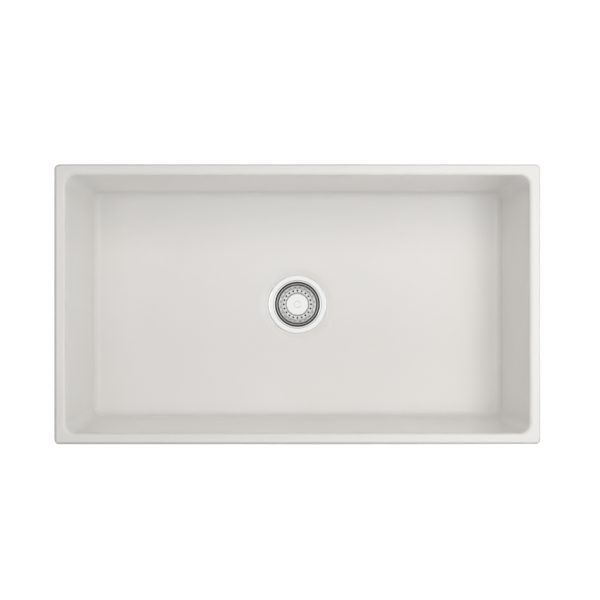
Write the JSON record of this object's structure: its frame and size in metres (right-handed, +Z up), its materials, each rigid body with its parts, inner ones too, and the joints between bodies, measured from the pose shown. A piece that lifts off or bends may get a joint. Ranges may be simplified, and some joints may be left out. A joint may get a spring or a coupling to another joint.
{
  "type": "farmhouse apron front sink",
  "caption": "Single-bowl white fireclay apron front sink with a central recessed drain and a lift-out stainless basket strainer.",
  "frame": {"origin": "on the plane of the basin's foot, straight below the middle of the drain, where the cabinet support carries the sink", "axes": "+Z up out of the bowl; +X along the long side, to the right seen from the front; -Y out of the apron"},
  "size_m": [0.838, 0.483, 0.4151],
  "materials": {
    "glaze": "gloss",
    "polished_steel": "polished",
    "brushed_steel": "satin",
    "cast_zinc": "satin",
    "black_rubber": "matte",
    "grey_rubber": "matte",
    "fibre": "matte",
    "white_plastic": "satin"
  },
  "bodies": {
    "sink": {"fireclay_basin": "glaze", "flange_gasket": "grey_rubber", "strainer_body": "polished_steel", "outlet_spider": "brushed_steel", "under_washer": "black_rubber", "friction_washer": "fibre", "lock_nut": "cast_zinc", "tailpiece_washer": "white_plastic", "tailpiece": "polished_steel", "coupling_nut": "cast_zinc"},
    "stopper": {"seal_plate": "brushed_steel", "stopper_seal": "black_rubber"},
    "basket": {"basket_cup": "polished_steel", "knob_cap": "polished_steel", "knob_core": "white_plastic", "post": "brushed_steel", "nut_washer": "brushed_steel", "retaining_nut": "brushed_steel", "post_tip": "white_plastic", "grip_ring": "black_rubber"}
  },
  "joints": [
    {"name": "basket_lift", "type": "slide", "parent": "sink", "child": "stopper", "axis": [0, 0, 1], "range_m": [0, 0.32]},
    {"name": "basket_turn", "type": "hinge", "parent": "stopper", "child": "basket", "pos_m": [0, 0, 0], "axis": [0, 0, 1], "continuous": true}
  ]
}
